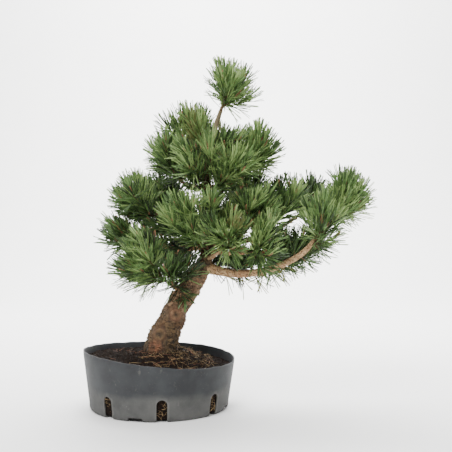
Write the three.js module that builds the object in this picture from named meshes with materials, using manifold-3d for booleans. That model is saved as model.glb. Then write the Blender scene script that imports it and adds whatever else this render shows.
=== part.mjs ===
// Potted mugo pine prebonsai: a leaning, tapering trunk with boughs and masses of needle tufts,
// grown in a nursery pot that was cut down by hand. Millimetres, +Z up, the front towards -Y.
import * as THREE from "three";
import { mergeVertices } from "three/addons/utils/BufferGeometryUtils.js";
import Module from "manifold-3d";

const wasm = await Module();
wasm.setup();

// Driving dimensions of the pot
const potFootRadius = 111;
const potRimRadius = 122;
const potHeight = 84.3;
const potWall = 2;
const potFloor = 2.5;
const potHeel = 4;
const rimSlant = 8;
const rimWave = 2.2;
const potSides = 56;
const slotCount = 8;
const slotTurn = 6.8;
const slotWidth = 16;
const slotHeight = 34;
const slotDepth = 14;
const notchCount = 4;
const notchTurn = -14;
const notchWidth = 27;
const notchHeight = 6;
const notchDepth = 9;

// Driving dimensions of the soil
const seat = 0.3;
const soilEdge = 72;
const soilMound = 15.7;
const soilPlateau = 36;
const soilLump = 1.4;
const lumpTurnX = 0.16;
const lumpTurnY = 0.13;
const soilSides = 32;
const soilRings = 6;

// Driving dimensions of the wood
const barkLobe = 0.05;
const barkLobes = 3;
const barkRidges = 5;
const barkWinding = 9;
const trunkSides = 12;
const trunkSteps = 24;
const boughSides = 6;
const boughSteps = 6;
const boughCollar = 1.35;
const collarShare = 0.2;

// Driving dimensions of the needle tufts
const twigRadius = 2.2;
const stemRadius = 2.8;
const coreRadius = 6;
const coreFull = 0.3;
const coreSides = 4;
const budRadius = 2.2;
const needleRings = 5;
const needledShare = 0.84;
const needledLength = 57;
const needleLength = 38;
const needleRadius = 2.6;
const needleParts = [1, 0.8, 0.62];
const needleSamples = [0.25, 0.5, 0.75, 1];
const needleWobble = 10;
const needleUneven = 0.2;
const needleSteepest = 78;
const needleFlattest = 20;
const needleForward = 0.7;
const limbClearance = 0.8;
const massClearance = 0.3;
const shootSpacing = 11;
const shootClearance = 5;
const shootShortest = 34;
const shootRise = 0.3;
const shootSpans = 8;
const limbSpans = 16;
const heightHalvings = 30;
const forkFirst = 0.15;
const forkLast = 0.6;
const stemLift = 0.35;
const stemStraight = 0.45;
const seedBase = 4100;
const shootWobble = 0.3;
const sliver = 0.02;
const mergeReach = 1e-4;
const goldenTurn = Math.PI * (3 - Math.sqrt(5));

// The trunk: x, y, z of its centre line and its radius, from the flat cut to the leader's end
const trunkStations = [
  [0, 0, 88, 27],
  [7, 0, 112, 24],
  [18, -1, 136, 20.5],
  [29, -2, 161, 18.6],
  [45, -3, 184, 17],
  [60, -2, 206, 15.5],
  [73, 0, 230, 13],
  [79, 3, 258, 9.6],
  [77, 5, 288, 7.4],
  [75, 4, 320, 6.4],
  [77, 0, 355, 5.6],
  [82, -2, 390, 4.8],
  [86, 0, 423, 4.3],
  [91, 1, 452, 3.8],
  [99, -1, 476, 3.3],
];

// The boughs: parent limb, where they leave it (height on the trunk, share of another limb, or
// its tip when left out), their own tip, how far the middle sags, and the radii of both ends
const boughList = [
  { name: "bough_low_left", from: "trunk", leave: 184, tip: [20, -22, 197], sag: -2, radii: [5.6, 3.2] },
  { name: "bough_low_back", from: "trunk", leave: 202, tip: [26, 38, 208], sag: -2, radii: [5, 3] },
  { name: "bough_right", from: "trunk", leave: 225, tip: [217, -36, 240], sag: -18, radii: [7.6, 4.7] },
  { name: "bough_right_rise", from: "bough_right", tip: [256, -32, 286], sag: 0, radii: [4.7, 3.2] },
  { name: "bough_right_front", from: "trunk", leave: 252, tip: [144, -44, 250], sag: -4, radii: [4.2, 2.8] },
  { name: "bough_back_right", from: "trunk", leave: 262, tip: [226, 70, 304], sag: -14, radii: [6, 3.2] },
  { name: "bough_front_right", from: "trunk", leave: 238, tip: [100, -48, 256], sag: -4, radii: [4.6, 3] },
  { name: "bough_left", from: "trunk", leave: 258, tip: [-10, 2, 262], sag: -6, radii: [5.2, 3.2] },
  { name: "bough_mid_right", from: "trunk", leave: 278, tip: [134, -26, 282], sag: -6, radii: [4.6, 3] },
  { name: "bough_back_left", from: "trunk", leave: 268, tip: [20, 60, 288], sag: -6, radii: [4.8, 3] },
  { name: "bough_back", from: "trunk", leave: 298, tip: [128, 62, 304], sag: -6, radii: [4.6, 3] },
  { name: "bough_right_inner", from: "trunk", leave: 312, tip: [172, -2, 290], sag: -5, radii: [4.8, 3] },
  { name: "bough_left_high", from: "trunk", leave: 292, tip: [2, -2, 306], sag: -5, radii: [4.8, 3] },
  { name: "bough_crown_left", from: "trunk", leave: 354, tip: [42, -6, 358], sag: -3, radii: [4.2, 2.8] },
  { name: "bough_crown_right", from: "trunk", leave: 354, tip: [134, -6, 368], sag: -7, radii: [4.2, 2.8] },
];

// The masses: what carries them, where their middle shoot ends, how many shoots fan out, how wide
const massList = [
  { name: "tuft_top", on: "trunk", reach: [112, -4, 510], shoots: 6, spread: 50 },
  { name: "tuft_crown_left", on: "bough_crown_left", reach: [23, 2, 413], shoots: 6, spread: 54 },
  { name: "tuft_crown_high_left", on: "trunk", leave: 388, reach: [45, 22, 454], shoots: 4, spread: 20 },
  { name: "tuft_crown_front", on: "trunk", leave: 356, reach: [58, -56, 396], shoots: 4, spread: 42 },
  { name: "tuft_crown_middle", on: "trunk", leave: 404, reach: [104, -34, 402], shoots: 3, spread: 36 },
  { name: "tuft_crown_front_right", on: "trunk", leave: 338, reach: [122, -56, 391], shoots: 4, spread: 42 },
  { name: "tuft_crown_right", on: "bough_crown_right", reach: [156, -8, 410], shoots: 5, spread: 44 },
  { name: "tuft_crown_back", on: "trunk", leave: 376, reach: [104, 62, 410], shoots: 4, spread: 42 },
  { name: "tuft_crown_back_left", on: "trunk", leave: 366, reach: [9, 62, 394], shoots: 4, spread: 42 },
  { name: "tuft_left_high", on: "bough_left_high", reach: [-53, 0, 324], shoots: 6, spread: 56 },
  { name: "tuft_left", on: "bough_left", reach: [-66, 2, 283], shoots: 6, spread: 56 },
  { name: "tuft_low_left", on: "bough_low_left", reach: [-38, -34, 250], shoots: 6, spread: 52 },
  { name: "tuft_low_back", on: "bough_low_back", reach: [20, 62, 252], shoots: 5, spread: 46 },
  { name: "tuft_back_left", on: "bough_back_left", reach: [-24, 84, 350], shoots: 5, spread: 50 },
  { name: "tuft_front_left", on: "trunk", leave: 248, reach: [47, -66, 315], shoots: 5, spread: 46 },
  { name: "tuft_left_inner", on: "trunk", leave: 272, reach: [2, -42, 286], shoots: 5, spread: 46 },
  { name: "tuft_front_middle", on: "trunk", leave: 264, reach: [110, -62, 304], shoots: 4, spread: 46 },
  { name: "tuft_front_right", on: "bough_front_right", reach: [114, -92, 272], shoots: 5, spread: 52 },
  { name: "tuft_right_front", on: "bough_right_front", reach: [160, -84, 271], shoots: 6, spread: 52 },
  { name: "tuft_mid_right", on: "bough_mid_right", reach: [156, -50, 318], shoots: 5, spread: 46 },
  { name: "tuft_right_inner", on: "bough_right_inner", reach: [196, -6, 338], shoots: 5, spread: 48 },
  { name: "tuft_right_back", on: "bough_back_right", reach: [253, 74, 338], shoots: 5, spread: 44 },
  { name: "tuft_back", on: "bough_back", reach: [160, 78, 353], shoots: 5, spread: 56 },
  { name: "tuft_back_low", on: "trunk", leave: 226, reach: [140, 40, 236], shoots: 6, spread: 54 },
  { name: "tuft_right_end", on: "bough_right_rise", reach: [309, -8, 332], shoots: 6, spread: 26 },
  { name: "tuft_right_low", on: "bough_right_rise", leave: 0.5, reach: [269, -50, 291], shoots: 6, spread: 42 },
  { name: "tuft_low_inner", on: "bough_low_left", leave: 0.45, reach: [18, -50, 229], shoots: 6, spread: 54 },
  { name: "tuft_under_right", on: "bough_right", leave: 0.62, reach: [240, 14, 269], shoots: 5, spread: 54 },
  { name: "tuft_back_middle", on: "trunk", leave: 282, reach: [92, 74, 300], shoots: 4, spread: 46 },
];

const material = (color, roughness) => new THREE.MeshStandardMaterial({ color, roughness, metalness: 0 });
const potPlastic = material(0x5d646b, 0.6);
const darkSoil = material(0x3a2a1f, 0.95);
const trunkBark = material(0x6d5442, 0.9);
const boughBark = material(0x8a6d55, 0.85);
const pineNeedles = material(0x3f6a33, 0.6);

// A repeatable run of random numbers from 0 to 1.
function seededRandom(seed) {
  let state = seed >>> 0;
  return () => {
    state = (state + 0x6d2b79f5) >>> 0;
    let mixed = Math.imul(state ^ (state >>> 15), state | 1);
    mixed ^= mixed + Math.imul(mixed ^ (mixed >>> 7), mixed | 61);
    return ((mixed ^ (mixed >>> 14)) >>> 0) / 4294967296;
  };
}

// A closed geometry as a solid that can be joined and cut.
function solidOf(geometry) {
  const bare = geometry.index ? geometry.toNonIndexed() : geometry.clone();
  bare.deleteAttribute("normal");
  bare.deleteAttribute("uv");
  const merged = mergeVertices(bare, mergeReach);
  return new wasm.Manifold(
    new wasm.Mesh({
      numProp: 3,
      vertProperties: merged.attributes.position.array,
      triVerts: new Uint32Array(merged.index.array),
    }),
  );
}

// The named mesh of a solid: its largest body, without slivers, scraps and sealed hollows.
function meshOf(solid, name, surface) {
  const bodies = solid
    .simplify(sliver)
    .decompose()
    .sort((a, b) => b.volume() - a.volume());
  const { vertProperties, triVerts } = bodies[0].getMesh();
  const geometry = new THREE.BufferGeometry();
  geometry.setAttribute("position", new THREE.BufferAttribute(new Float32Array(vertProperties), 3));
  geometry.setIndex(new THREE.BufferAttribute(new Uint32Array(triVerts), 1));
  geometry.computeVertexNormals();
  const mesh = new THREE.Mesh(geometry, surface);
  mesh.name = name;
  return mesh;
}

// The world axis that a curve's chord runs least along, which keeps its rings from twisting.
function helperOf(curve) {
  const chord = curve.getPoint(1).sub(curve.getPoint(0));
  const sizes = chord.toArray().map(Math.abs);
  const least = sizes.indexOf(Math.min(...sizes));
  return new THREE.Vector3().setComponent(least, 1);
}

// Two unit vectors square to an axis and to each other.
function sideVectors(axis, helper) {
  const across = new THREE.Vector3().crossVectors(helper, axis).normalize();
  const over = new THREE.Vector3().crossVectors(axis, across);
  return [across, over];
}

// A tapering limb: a closed cylinder whose rings are carried along the curve. ringOf(share) gives
// the radius, sideOf(angle, share) a factor for each side, and stretch(share) spaces the rings.
function limbGeometry(curve, ringOf, sides, steps, options = {}) {
  const { sideOf = () => 1, flatFoot = false, stretch = (at) => at } = options;
  const geometry = new THREE.CylinderGeometry(1, 1, 1, sides, steps);
  const place = geometry.attributes.position;
  const corner = new THREE.Vector3();
  const helper = helperOf(curve);
  for (let i = 0; i < place.count; i += 1) {
    corner.fromBufferAttribute(place, i);
    const share = Math.min(1, Math.max(0, stretch(corner.y + 0.5)));
    const centre = curve.getPoint(share);
    const axis = flatFoot && share < 0.5 / steps ? new THREE.Vector3(0, 0, 1) : curve.getTangent(share);
    const [across, over] = sideVectors(axis, helper);
    const reach = ringOf(share) * sideOf(Math.atan2(corner.z, corner.x), share);
    centre.addScaledVector(across, -corner.x * reach).addScaledVector(over, corner.z * reach);
    place.setXYZ(i, centre.x, centre.y, centre.z);
  }
  return geometry;
}

// Slanted, slightly wavy height of the hand-cut rim, by the angle from the front.
function rimHeight(angle) {
  return potHeight - rimSlant * Math.sin(angle) - rimWave * Math.sin(2 * angle);
}

// The pot: a turned shell with a floor, whose rim is moved to the hand-cut line, less its cuts.
function potSolid() {
  const flare = (potRimRadius - potFootRadius) / potHeight;
  const profile = [
    [0, 0],
    [potFootRadius - potHeel, 0],
    [potFootRadius - potHeel / 4, potHeel / 3],
    [potFootRadius + flare * potHeel, potHeel],
    [potRimRadius, potHeight],
    [potRimRadius - potWall, potHeight],
    [potFootRadius - potWall, potHeel],
    [potFootRadius - potHeel, potFloor],
    [0, potFloor],
  ].map(([radius, height]) => new THREE.Vector2(radius, height));
  const shell = new THREE.LatheGeometry(profile, potSides);
  shell.rotateX(Math.PI / 2);
  const place = shell.attributes.position;
  for (let i = 0; i < place.count; i += 1) {
    if (place.getZ(i) > potHeight / 2) place.setZ(i, rimHeight(Math.atan2(place.getX(i), -place.getY(i))));
  }
  let pot = solidOf(shell);
  for (const [outline, count, turn, depth] of potCuts()) {
    for (let i = 0; i < count; i += 1) {
      const length = depth + 2 * (potRimRadius - potFootRadius);
      const options = { depth: length, bevelEnabled: false, curveSegments: 4 };
      const cutter = new THREE.ExtrudeGeometry(outline, options);
      cutter.rotateX(Math.PI / 2);
      cutter.translate(0, depth - potFootRadius, 0);
      cutter.rotateZ(THREE.MathUtils.degToRad(turn + (360 * i) / count));
      pot = pot.subtract(solidOf(cutter));
    }
  }
  return pot;
}

// The arched drain slots and the low notches in the foot: outline, count, first angle, depth.
function potCuts() {
  const half = slotWidth / 2;
  const below = -potFloor / 2;
  const slot = new THREE.Shape();
  slot.moveTo(-half, below);
  slot.lineTo(half, below);
  slot.lineTo(half, slotHeight - half);
  slot.absarc(0, slotHeight - half, half, 0, Math.PI, false);
  const notch = new THREE.Shape();
  notch.moveTo(-notchWidth / 2, below);
  notch.lineTo(notchWidth / 2, below);
  notch.lineTo(notchWidth / 2 - notchHeight / 2, notchHeight);
  notch.lineTo(notchHeight / 2 - notchWidth / 2, notchHeight);
  return [
    [slot, slotCount, slotTurn, slotDepth],
    [notch, notchCount, notchTurn, notchDepth],
  ];
}

// Height of the soil: a mound round the trunk's foot that falls off towards the wall.
function soilHeight(x, y) {
  const fall = THREE.MathUtils.smoothstep(Math.hypot(x, y), soilPlateau, potFootRadius);
  const waves = Math.sin(x * lumpTurnX + 1) * Math.cos(y * lumpTurnY);
  const lumps = soilLump * waves * Math.min(1, fall * soilRings);
  return soilEdge + soilMound * (1 - fall) - rimSlant * Math.sin(Math.atan2(x, -y)) * fall + lumps;
}

// The soil fills the pot a hair clear of its inside, with a lumpy mounded top.
function soilSolid() {
  const floor = potFloor + seat;
  const heel = potHeel + seat;
  const foot = potFootRadius - potWall - potHeel;
  const rim = potRimRadius - potWall - 2 * seat;
  const profile = [
    [0, floor],
    [foot, floor],
    [potFootRadius - potWall - 2 * seat, heel],
    [rim, potHeight],
  ];
  for (let ring = soilRings - 1; ring >= 1; ring -= 1) {
    profile.push([soilPlateau + ((rim - soilPlateau) * (ring - 1)) / (soilRings - 1), potHeight]);
  }
  profile.push([0, potHeight]);
  const soil = new THREE.LatheGeometry(
    profile.map(([radius, height]) => new THREE.Vector2(radius, height)),
    soilSides,
  );
  soil.rotateX(Math.PI / 2);
  const place = soil.attributes.position;
  for (let i = 0; i < place.count; i += 1) {
    if (place.getZ(i) < potHeight / 2) continue;
    const [x, y] = [place.getX(i), place.getY(i)];
    const top = rimHeight(Math.atan2(x, -y));
    const share = (soilHeight(x, y) - potHeel) / (top - potHeel);
    const wall = potFootRadius - potWall - 2 * seat + (potRimRadius - potFootRadius) * share;
    const draw = Math.min(1, wall / Math.hypot(x, y));
    place.setXYZ(i, x * draw, y * draw, soilHeight(x, y));
  }
  return solidOf(soil);
}

const trunkCurve = new THREE.CatmullRomCurve3(
  trunkStations.map(([x, y, z]) => new THREE.Vector3(x, y, z)),
  false,
  "catmullrom",
);

function trunkRadius(share) {
  const at = share * (trunkStations.length - 1);
  const low = Math.min(Math.floor(at), trunkStations.length - 2);
  return THREE.MathUtils.lerp(trunkStations[low][3], trunkStations[low + 1][3], at - low);
}

// A lobed section, whose lobes wind slowly round the trunk and are strongest at the foot.
function trunkSide(angle, share) {
  const wide = (1 - share / 2) * Math.sin(barkLobes * angle + barkWinding * share);
  const narrow = Math.sin(barkRidges * angle) / 2;
  return 1 + barkLobe * (wide + narrow);
}

// The share of the trunk's curve at a height.
function shareAtHeight(height) {
  let [low, high] = [0, 1];
  for (let i = 0; i < heightHalvings; i += 1) {
    const middle = (low + high) / 2;
    if (trunkCurve.getPoint(middle).z < height) low = middle;
    else high = middle;
  }
  return low;
}

const limbs = { trunk: { curve: trunkCurve, radiusOf: trunkRadius } };

// Where a piece leaves its carrier: on the trunk's axis at a height, on another limb's axis at a
// share of its length, or just past its tip.
function rootOn(carrier, leave) {
  if (leave !== undefined) {
    const share = carrier === limbs.trunk ? shareAtHeight(leave) : leave;
    return { point: carrier.curve.getPoint(share), axis: null };
  }
  const axis = carrier.curve.getTangent(1);
  return { point: carrier.curve.getPoint(1).addScaledVector(axis, seat), axis };
}

for (const { name, from, leave, tip, sag, radii } of boughList) {
  const { point, axis } = rootOn(limbs[from], leave);
  const end = new THREE.Vector3(...tip);
  const bend = point.clone().lerp(end, 0.5);
  if (axis) bend.copy(point).addScaledVector(axis, end.distanceTo(point) / 2);
  bend.z += 2 * sag;
  limbs[name] = {
    curve: new THREE.QuadraticBezierCurve3(point, bend, end),
    radiusOf: (share) => {
      const collar = axis ? 1 : 1 + (boughCollar - 1) * Math.max(0, 1 - share / collarShare);
      return THREE.MathUtils.lerp(radii[0], radii[1], share) * collar;
    },
  };
}

// Distance from a point to a chain of points.
function distanceToSpine(point, points) {
  let nearest = Infinity;
  const line = new THREE.Line3();
  const foot = new THREE.Vector3();
  for (let i = 1; i < points.length; i += 1) {
    line.set(points[i - 1], points[i]);
    line.closestPointToPoint(point, true, foot);
    nearest = Math.min(nearest, foot.distanceTo(point));
  }
  return nearest;
}

const limbSpines = Object.values(limbs).map(({ curve, radiusOf }) => {
  const points = curve.getPoints(limbSpans);
  return points.slice(1).map((point, i) => ({
    ends: [points[i], point],
    radius: Math.max(radiusOf(i / limbSpans), radiusOf((i + 1) / limbSpans)) * (1 + 2 * barkLobe),
  }));
});

// How far a point is from the wood of every limb.
function roomToLimbs(point) {
  let room = Infinity;
  for (const spans of limbSpines) {
    for (const { ends, radius } of spans) room = Math.min(room, distanceToSpine(point, ends) - radius);
  }
  return room;
}

// The middle shoot of a mass: on from its bough's tip, or out of the trunk, to its reach.
function middleShoot({ on, leave, reach }) {
  const { point, axis } = rootOn(limbs[on], leave);
  const end = new THREE.Vector3(...reach);
  const out = axis ?? new THREE.Vector3(end.x - point.x, end.y - point.y, 0).normalize();
  if (!axis) out.z += stemLift;
  const bend = point.clone().addScaledVector(out.normalize(), stemStraight * end.distanceTo(point));
  return new THREE.QuadraticBezierCurve3(point, bend, end);
}

// The side shoots fan out round the middle one by the golden angle and turn up at their ends.
function sideShoots(mass, middle, random) {
  const shoots = [];
  const tipAxis = middle.getTangent(1);
  const [across, over] = sideVectors(tipAxis, helperOf(middle));
  const turn = 2 * Math.PI * random();
  for (let k = 1; k < mass.shoots; k += 1) {
    const share = forkFirst + ((forkLast - forkFirst) * (k - 1)) / Math.max(1, mass.shoots - 2);
    const point = middle.getPoint(share);
    const angle = turn + goldenTurn * k + shootWobble * random();
    const tilt = THREE.MathUtils.degToRad(mass.spread) * (1 + shootWobble * (random() - 0.5));
    const axis = tipAxis.clone().multiplyScalar(Math.cos(tilt));
    axis.addScaledVector(across, Math.sin(tilt) * Math.cos(angle));
    axis.addScaledVector(over, Math.sin(tilt) * Math.sin(angle));
    const whole = Math.max(shootShortest, middle.getPoint(1).distanceTo(point));
    const length = whole * (1 - shootWobble * random());
    const end = point.clone().addScaledVector(axis, length);
    end.z += shootRise * length;
    const bend = point.clone().addScaledVector(axis, length / 2);
    bend.z -= (shootRise * length) / 4;
    shoots.push(new THREE.QuadraticBezierCurve3(point, bend, end));
  }
  return shoots;
}

const masses = massList.map((mass, i) => {
  const middle = middleShoot(mass);
  const spines = [middle.getPoints(shootSpans)];
  return { ...mass, random: seededRandom(seedBase + i), curves: [middle], spines };
});

// Distance from a point to the nearest shoot of the masses, leaving one mass or one shoot out.
function distanceToShoots(point, skip) {
  let nearest = Infinity;
  for (const mass of masses) {
    for (const points of mass.spines) {
      if (mass !== skip && points !== skip) nearest = Math.min(nearest, distanceToSpine(point, points));
    }
  }
  return nearest;
}

// A side shoot that comes near a limb or another mass's shoots is left out.
for (const mass of masses) {
  for (const curve of sideShoots(mass, mass.curves[0], mass.random)) {
    const points = curve.getPoints(shootSpans);
    const isFree = (point) =>
      roomToLimbs(point) > shootClearance && distanceToShoots(point, mass) > shootSpacing;
    if (!points.slice(1).every(isFree)) continue;
    mass.curves.push(curve);
    mass.spines.push(points);
  }
}

// How far inside its own space a point of a shoot lies: half the lead over the nearest other
// shoot, and clear of the wood.
function roomOf(point, points, skip) {
  const lead = distanceToShoots(point, skip) - distanceToSpine(point, points);
  return Math.min(lead / 2 - massClearance, roomToLimbs(point) - limbClearance);
}

// Radius of a shoot's slim core, which swells where the needles stand and narrows to the bud.
function coreRadiusOf(mass, k, root, bare) {
  return (share) => {
    const point = mass.curves[k].getPoint(share);
    const along = Math.max(0, (share - bare) / (1 - bare));
    const arch = Math.sin(Math.PI * Math.min(1, coreFull + (1 - coreFull) * along));
    const swell = (coreRadius - budRadius) * arch;
    const wanted = THREE.MathUtils.lerp(root, budRadius, share) + (share < bare ? 0 : swell);
    if (share === 0) return root;
    return Math.max(Math.min(wanted, roomOf(point, mass.spines[k], mass)), Math.min(twigRadius, wanted));
  };
}

// The tip of the needle that stands on a face of the core, or null where its space has no room.
function needleTip(mass, k, base, axis, length) {
  for (const part of needleParts) {
    const fits = needleSamples.every((share) => {
      const point = base.clone().addScaledVector(axis, length * part * share);
      return roomOf(point, mass.spines[k], mass.spines[k]) > needleRadius * (1 - share);
    });
    if (fits) return base.clone().addScaledVector(axis, length * part);
  }
  return null;
}

// The middle of a face's three corners.
function faceMiddle(place, corner) {
  const sum = new THREE.Vector3();
  for (const i of corner) sum.add(new THREE.Vector3().fromBufferAttribute(place, i));
  return sum.divideScalar(corner.length);
}

// The way a needle points that stands on the core at a share of the shoot: out at the foot of the
// needled stretch, and more and more forward towards the bud.
function needleAxis(curve, share, along, base, wobble) {
  const tangent = curve.getTangent(share);
  const out = base.clone().sub(curve.getPoint(share));
  out.addScaledVector(tangent, -out.dot(tangent)).normalize();
  const lean = THREE.MathUtils.lerp(needleSteepest, needleFlattest, along ** needleForward);
  const tilt = THREE.MathUtils.degToRad(lean + wobble);
  return tangent.multiplyScalar(Math.cos(tilt)).addScaledVector(out, Math.sin(tilt));
}

// A shoot: a slim core with a needle drawn out of each face of its needled stretch.
function shootSolid(mass, k) {
  const curve = mass.curves[k];
  const bare = 1 - Math.min(needledShare, needledLength / curve.getLength());
  const carried = mass.leave === undefined ? limbs[mass.on].radiusOf(1) : stemRadius;
  const ringOf = coreRadiusOf(mass, k, k === 0 ? carried : twigRadius, bare);
  const steps = needleRings + 1;
  const ringGap = (1 - bare) / needleRings;
  const stretch = (at) => (at * steps < 1 ? at * steps * bare : 1 - (1 - at) * steps * ringGap);
  const core = limbGeometry(curve, ringOf, coreSides, steps, { stretch });
  const place = core.attributes.position;
  const corners = Array.from(place.array);
  const faces = [];
  for (let face = 0; face < core.index.count / 3; face += 1) {
    const corner = [0, 1, 2].map((i) => core.index.getX(3 * face + i));
    const quad = Math.floor(face / 2);
    const fromTip = quad % steps;
    let tip = null;
    if (quad < coreSides * steps && fromTip < needleRings) {
      const base = faceMiddle(place, corner);
      const along = (needleRings - fromTip - 0.5) / needleRings;
      const wobble = needleWobble * (mass.random() - 0.5);
      const axis = needleAxis(curve, bare + (1 - bare) * along, along, base, wobble);
      const length = needleLength * (1 + needleUneven * (mass.random() - 0.5));
      tip = needleTip(mass, k, base, axis, length);
    }
    if (!tip) {
      faces.push(...corner);
      continue;
    }
    const at = corners.length / 3;
    corners.push(tip.x, tip.y, tip.z);
    faces.push(corner[0], corner[1], at, corner[1], corner[2], at, corner[2], corner[0], at);
  }
  const shoot = new THREE.BufferGeometry();
  shoot.setAttribute("position", new THREE.BufferAttribute(new Float32Array(corners), 3));
  shoot.setIndex(faces);
  return solidOf(shoot);
}

// A mass: all its shoots joined at their roots, cut clear of the trunk where it stands on it.
function massSolid(mass) {
  const shoots = mass.curves.map((curve, k) => shootSolid(mass, k));
  const whole = wasm.Manifold.union(shoots);
  return mass.leave === undefined ? whole : whole.subtract(grownLimb(mass.on));
}

// A limb, or the same limb grown by the gap that its neighbours keep to it.
function limbSolid(name, grow = 0) {
  const { curve, radiusOf } = limbs[name];
  const ringOf = (share) => radiusOf(share) + grow;
  if (name !== "trunk") return solidOf(limbGeometry(curve, ringOf, boughSides, boughSteps));
  const options = { sideOf: trunkSide, flatFoot: true };
  return solidOf(limbGeometry(curve, ringOf, trunkSides, trunkSteps, options));
}

const grownLimbs = {};
function grownLimb(name) {
  grownLimbs[name] ??= limbSolid(name, seat);
  return grownLimbs[name];
}

// A limb that leaves another one's side is cut clear of it.
function boughSolid({ name, from, leave }) {
  const whole = limbSolid(name);
  return leave === undefined ? whole : whole.subtract(grownLimb(from));
}

const tree = new THREE.Group();
tree.add(meshOf(potSolid(), "pot", potPlastic));
tree.add(meshOf(soilSolid(), "soil", darkSoil));
tree.add(meshOf(limbSolid("trunk"), "trunk", trunkBark));
for (const bough of boughList) tree.add(meshOf(boughSolid(bough), bough.name, boughBark));
for (const mass of masses) tree.add(meshOf(massSolid(mass), mass.name, pineNeedles));

export default tree;
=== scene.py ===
import math
import bpy
import numpy as np
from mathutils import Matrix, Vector, noise
from mathutils.kdtree import KDTree


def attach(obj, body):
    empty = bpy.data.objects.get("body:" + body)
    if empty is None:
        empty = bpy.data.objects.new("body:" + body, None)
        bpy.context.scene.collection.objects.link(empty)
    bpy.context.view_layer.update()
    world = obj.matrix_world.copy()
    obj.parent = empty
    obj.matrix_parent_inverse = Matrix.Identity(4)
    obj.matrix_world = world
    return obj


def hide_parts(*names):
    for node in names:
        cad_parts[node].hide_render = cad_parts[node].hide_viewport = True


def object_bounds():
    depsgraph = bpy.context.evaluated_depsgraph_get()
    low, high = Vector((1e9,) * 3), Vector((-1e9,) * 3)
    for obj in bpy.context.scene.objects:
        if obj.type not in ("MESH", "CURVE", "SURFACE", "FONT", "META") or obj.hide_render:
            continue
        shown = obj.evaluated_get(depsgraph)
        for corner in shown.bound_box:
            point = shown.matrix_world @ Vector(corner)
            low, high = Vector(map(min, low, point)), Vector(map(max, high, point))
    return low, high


# Potted mugo pine prebonsai: bark, twigs, needles, soil and pot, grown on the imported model's limbs.
# Lengths of the plant and the pot are in millimetres here, and meshes are made in metres.

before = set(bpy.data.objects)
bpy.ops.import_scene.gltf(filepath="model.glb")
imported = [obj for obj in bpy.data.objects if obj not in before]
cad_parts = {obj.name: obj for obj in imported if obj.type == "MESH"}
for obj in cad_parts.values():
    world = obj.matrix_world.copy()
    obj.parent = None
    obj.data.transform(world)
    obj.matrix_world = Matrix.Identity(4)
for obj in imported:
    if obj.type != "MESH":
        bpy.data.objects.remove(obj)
cadBox = [[float(v) for v in corner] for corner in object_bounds()]
mm = 0.001
goldenTurn = math.pi * (3 - math.sqrt(5))


# Shader helpers: a socket that does maths, and a material's node tree
def addNode(tree, kind, settings, sockets):
    made = tree.nodes.new(kind)
    for key, value in settings.items():
        setattr(made, key, value)
    for key, value in sockets.items():
        feed(tree, made.inputs[key], value)
    return made


def feed(tree, socket, value):
    value = value.socket if isinstance(value, Wire) else value
    if isinstance(value, bpy.types.NodeSocket):
        tree.links.new(value, socket)
    else:
        socket.default_value = value


class Wire:
    def __init__(self, owner, socket):
        self.owner, self.socket = owner, socket

    def maths(self, operation, first, second):
        return self.owner.node("ShaderNodeMath", {"operation": operation}, {0: first, 1: second})

    def __add__(self, other):
        return self.maths("ADD", self, other)

    def __radd__(self, other):
        return self.maths("ADD", other, self)

    def __rsub__(self, other):
        return self.maths("SUBTRACT", other, self)

    def __mul__(self, other):
        return self.maths("MULTIPLY", self, other)

    def ramp(self, low, high):
        sockets = {"Value": self, "From Min": low, "From Max": high, "To Min": 0.0, "To Max": 1.0}
        return self.owner.node("ShaderNodeMapRange", {"clamp": True}, sockets, "Result")


class Finish:
    def __init__(self, name):
        self.material = bpy.data.materials.new(name)
        self.material.use_nodes = True
        self.tree = self.material.node_tree
        self.shader = self.tree.nodes["Principled BSDF"]
        self.place = self.node("ShaderNodeTexCoord", {}, {}, "Object")

    def node(self, kind, settings, sockets, out=0):
        return Wire(self, addNode(self.tree, kind, settings, sockets).outputs[out])

    def noise(self, scale, detail=3.0, rough=0.6, place=None):
        sockets = {"Vector": place or self.place, "Scale": scale, "Detail": detail, "Roughness": rough}
        return self.node("ShaderNodeTexNoise", {}, sockets, "Fac")

    def stretched(self, factors):
        return self.node("ShaderNodeMapping", {}, {"Vector": self.place, "Scale": factors}, "Vector")

    def attribute(self, name):
        return self.node("ShaderNodeAttribute", {"attribute_name": name}, {}, "Fac")

    # tuples are sRGB tones of 0 to 255
    def mix(self, share, first, second):
        first, second = (tone(*c) if isinstance(c, tuple) else c for c in (first, second))
        return self.node("ShaderNodeMix", {"data_type": "RGBA"}, {0: share, 6: first, 7: second}, 2)

    def layered(self, color, *layers):
        for share, layer in layers:
            color = self.mix(share, color, layer)
        return color

    def wear(self, color, roughness, height=None, depth=0.0005, strength=0.6, specular=0.5):
        looks = {"Base Color": color, "Roughness": roughness, "Specular IOR Level": specular}
        if height is not None:
            sockets = {"Height": height, "Strength": strength, "Distance": depth}
            looks["Normal"] = self.node("ShaderNodeBump", {}, sockets, "Normal")
        for label, value in looks.items():
            feed(self.tree, self.shader.inputs[label], value)
        return self.material


def tone(*parts):
    linear = [c / 255 / 12.92 if c <= 10 else ((c / 255 + 0.055) / 1.055) ** 2.4 for c in parts]
    return (*linear, 1.0)


def twoTones(name, scale, span, first, second, roughness, depth=0, specular=0.5):
    finish = Finish(name)
    grain = finish.noise(scale, 2)
    color = finish.mix(grain.ramp(*span), first, second)
    return finish.wear(color, roughness, grain if depth else None, depth, specular=specular)


# Mesh helpers
def placed(name, data):
    made = bpy.data.objects.new(name, data)
    bpy.context.scene.collection.objects.link(made)
    return made


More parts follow.
